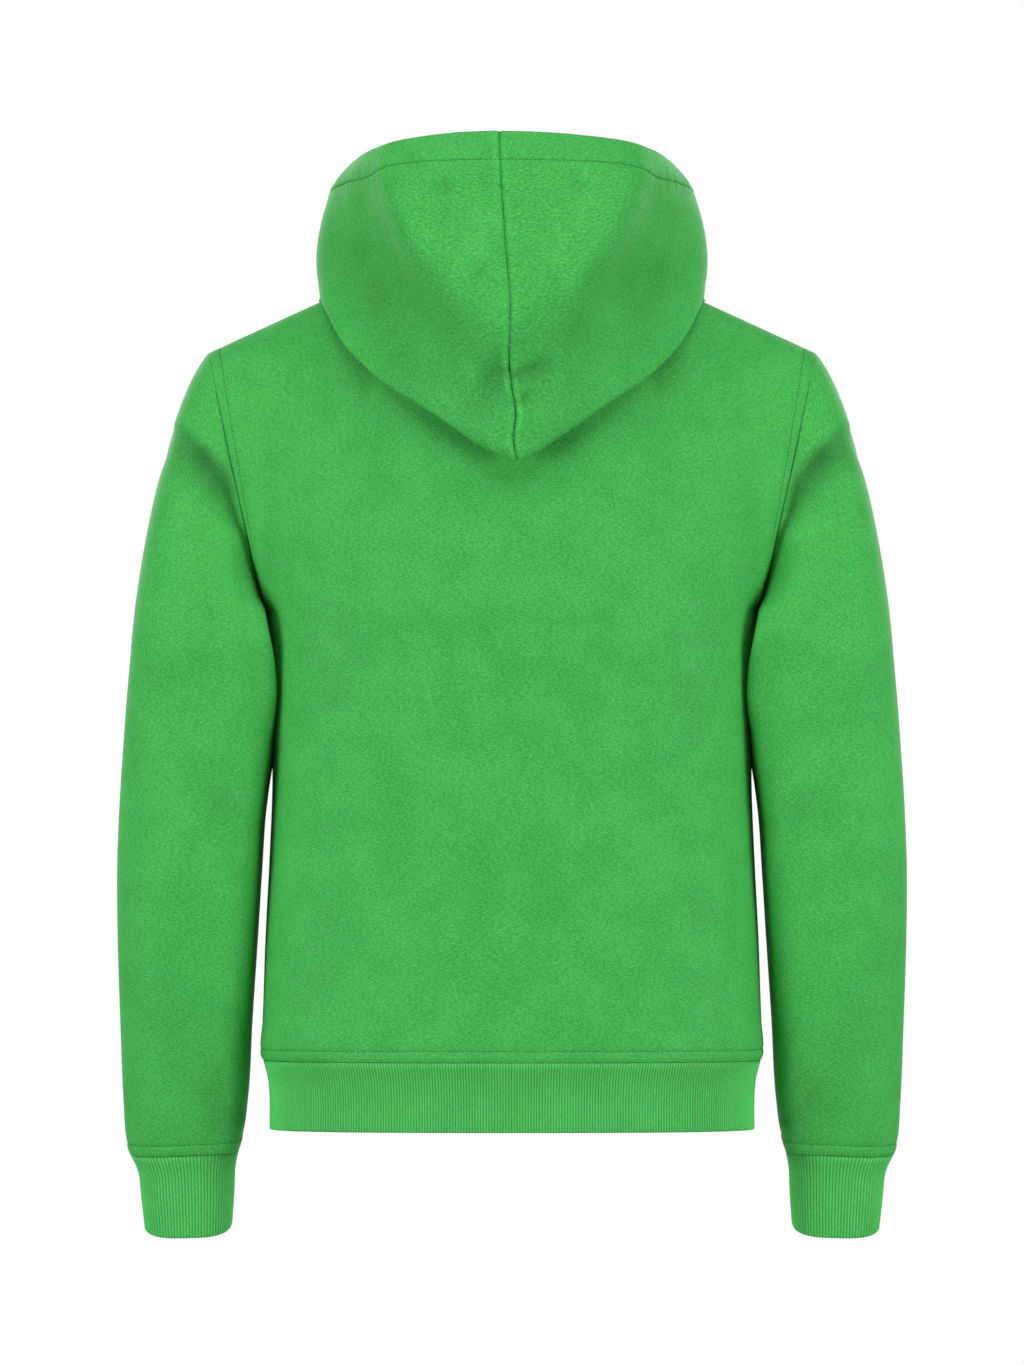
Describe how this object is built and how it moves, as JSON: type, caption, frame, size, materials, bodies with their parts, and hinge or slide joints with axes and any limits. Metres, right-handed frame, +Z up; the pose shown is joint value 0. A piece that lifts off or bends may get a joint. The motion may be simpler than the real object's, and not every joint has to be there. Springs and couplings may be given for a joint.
{
  "type": "pullover hoodie",
  "caption": "Long-sleeved pullover hoodie in green sweatshirt fleece, hood down, ribbed hem and cuffs, hollow and filled out as worn.",
  "frame": {"origin": "middle of the neck, level with the tops of the shoulder seams, where the wearer's shoulders carry the garment", "axes": "+Z up, +X to the wearer's left, -Y to the front; the hood hangs at +Y"},
  "size_m": [0.6106, 0.2957, 0.8412],
  "materials": {
    "brushed_fleece": "matt, smooth knitted face of brushed sweatshirt fleece, finely heathered, with a slight sheen on the folds",
    "rib_knit": "matt one-by-one rib knit with ribs about 2 mm apart, folded double"
  },
  "bodies": {
    "root": {"back": "brushed_fleece", "front": "brushed_fleece", "sleeve_left": "brushed_fleece", "sleeve_right": "brushed_fleece", "hood_left": "brushed_fleece", "hood_right": "brushed_fleece", "cuff_left": "rib_knit", "cuff_right": "rib_knit", "hem_rib": "rib_knit"}
  },
  "joints": []
}
